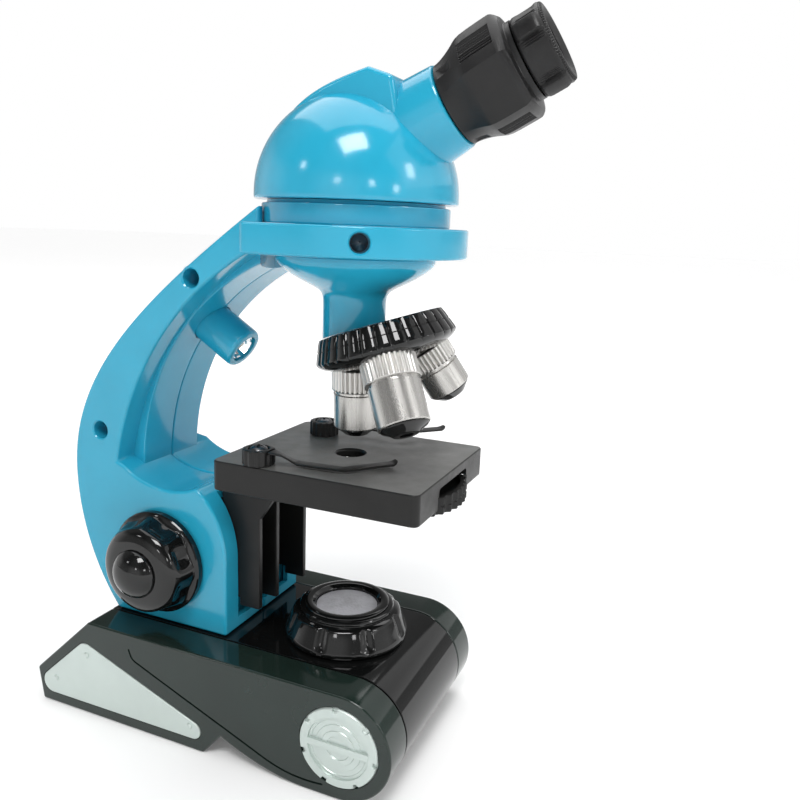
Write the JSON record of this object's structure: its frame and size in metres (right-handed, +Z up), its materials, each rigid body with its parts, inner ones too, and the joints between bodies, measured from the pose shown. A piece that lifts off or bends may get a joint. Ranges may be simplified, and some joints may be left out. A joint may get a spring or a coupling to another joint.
{
  "type": "kids microscope",
  "caption": "Upright toy microscope with a slanted turning eyepiece head, a tilted turret of objectives, a clipped stage on a rack, side focus knobs and a lamp in its base.",
  "frame": {"origin": "on the table, under the middle of the object's outline", "axes": "+Z up; the lamp end of the base and the slanted eyepiece face -Y, the arm stands at +Y; +X is the user's right when looking along +Y"},
  "size_m": [0.0958, 0.1966, 0.2679],
  "materials": {
    "blue_plastic": "gloss",
    "gloss_black_plastic": "gloss",
    "satin_black_plastic": "satin",
    "charcoal_plastic": "matte",
    "silver_plastic": "satin",
    "satin_chrome": "satin",
    "steel": "satin",
    "frosted_lens": "frosted",
    "glass": "clear",
    "mirror": "mirror",
    "led_resin": "clear resin"
  },
  "bodies": {
    "base": {"base_shell": "gloss_black_plastic", "base_plate": "gloss_black_plastic", "battery_door": "gloss_black_plastic", "door_screw": "steel", "side_cover_left": "gloss_black_plastic", "side_cover_right": "gloss_black_plastic", "trim_plate_left": "silver_plastic", "trim_plate_right": "silver_plastic", "disc_cap_left": "silver_plastic", "disc_cap_right": "silver_plastic", "lamp_led": "led_resin", "arm_half_left": "blue_plastic", "arm_half_right": "blue_plastic", "arm_screw_upper": "steel", "arm_screw_lower": "steel", "top_lamp_housing": "blue_plastic", "top_lamp_reflector": "mirror", "top_lamp_led": "led_resin", "collar_plate": "blue_plastic", "collar_screw_left": "steel", "collar_screw_right": "steel", "turntable_disc": "blue_plastic", "bell_neck": "blue_plastic", "nosepiece_mount": "satin_black_plastic", "turret_pivot": "steel"},
    "lamp_head": {"lamp_housing": "gloss_black_plastic", "lamp_bezel": "gloss_black_plastic", "lamp_lens": "frosted_lens"},
    "focus_drive": {"focus_shaft": "steel", "focus_pinion": "satin_black_plastic", "focus_knob_left": "gloss_black_plastic", "focus_knob_right": "gloss_black_plastic", "knob_cap_left": "gloss_black_plastic", "knob_cap_right": "gloss_black_plastic"},
    "stage": {"stage_bracket": "satin_black_plastic", "stage_rack": "satin_black_plastic", "stage_plate": "satin_black_plastic", "clip_screw_left": "steel", "clip_screw_right": "steel", "wheel_pivot": "steel"},
    "wheel": {"diaphragm_wheel": "satin_black_plastic"},
    "clip_left": {"clip_post_left": "satin_black_plastic", "clip_leaf_left": "satin_black_plastic"},
    "clip_right": {"clip_post_right": "satin_black_plastic", "clip_leaf_right": "satin_black_plastic"},
    "turret": {"turret_disc": "gloss_black_plastic", "objective_low_barrel": "satin_chrome", "objective_low_tip": "satin_black_plastic", "objective_mid_barrel": "satin_chrome", "objective_mid_tip": "satin_black_plastic", "objective_high_barrel": "satin_chrome", "objective_high_tip": "satin_black_plastic"},
    "head": {"head_dome": "blue_plastic", "head_mirror": "mirror", "mirror_holder": "satin_black_plastic"},
    "eyepiece": {"eyepiece_body": "charcoal_plastic", "field_lens": "glass"},
    "eye_ring": {"eye_cup": "charcoal_plastic", "eye_lens": "glass"}
  },
  "joints": [
    {"name": "lamp_twist", "type": "hinge", "parent": "base", "child": "lamp_head", "pos_m": [0, -0.0237, 0.047], "axis": [0, 0, 1], "range_deg": [0, 60]},
    {"name": "focus_turn", "type": "hinge", "parent": "base", "child": "focus_drive", "pos_m": [0, 0.0451, 0.0669], "axis": [-1, 0, 0], "range_deg": [-76.5, 38.3]},
    {"name": "stage_slide", "type": "slide", "parent": "base", "child": "stage", "axis": [0, 0, 1], "range_m": [-0.008, 0.004]},
    {"name": "wheel_turn", "type": "hinge", "parent": "stage", "child": "wheel", "pos_m": [0, -0.0395, 0.104], "axis": [0, 0, 1], "continuous": true},
    {"name": "clip_swing_left", "type": "hinge", "parent": "stage", "child": "clip_left", "pos_m": [-0.0294, -0.0019, 0.117], "axis": [0, 0, 1], "range_deg": [-20, 25]},
    {"name": "clip_swing_right", "type": "hinge", "parent": "stage", "child": "clip_right", "pos_m": [0.0185, -0.0022, 0.117], "axis": [0, 0, 1], "range_deg": [-20, 25]},
    {"name": "turret_turn", "type": "hinge", "parent": "base", "child": "turret", "pos_m": [0, -0.03566, 0.15964], "axis": [0, 0.3305, 0.9438], "continuous": true},
    {"name": "head_turn", "type": "hinge", "parent": "base", "child": "head", "pos_m": [0, -0.0237, 0.206], "axis": [0, 0, 1], "continuous": true},
    {"name": "eyepiece_slide", "type": "slide", "parent": "head", "child": "eyepiece", "axis": [0, -0.8746, 0.4848], "range_m": [0, 0.012]},
    {"name": "eye_ring_turn", "type": "hinge", "parent": "eyepiece", "child": "eye_ring", "pos_m": [0, -0.0585, 0.238], "axis": [0, -0.8746, 0.4848], "range_deg": [-60, 60]}
  ],
  "couplings": [
    {"joint": "focus_turn", "follows": "stage_slide", "rad_per_m": 166.67}
  ]
}
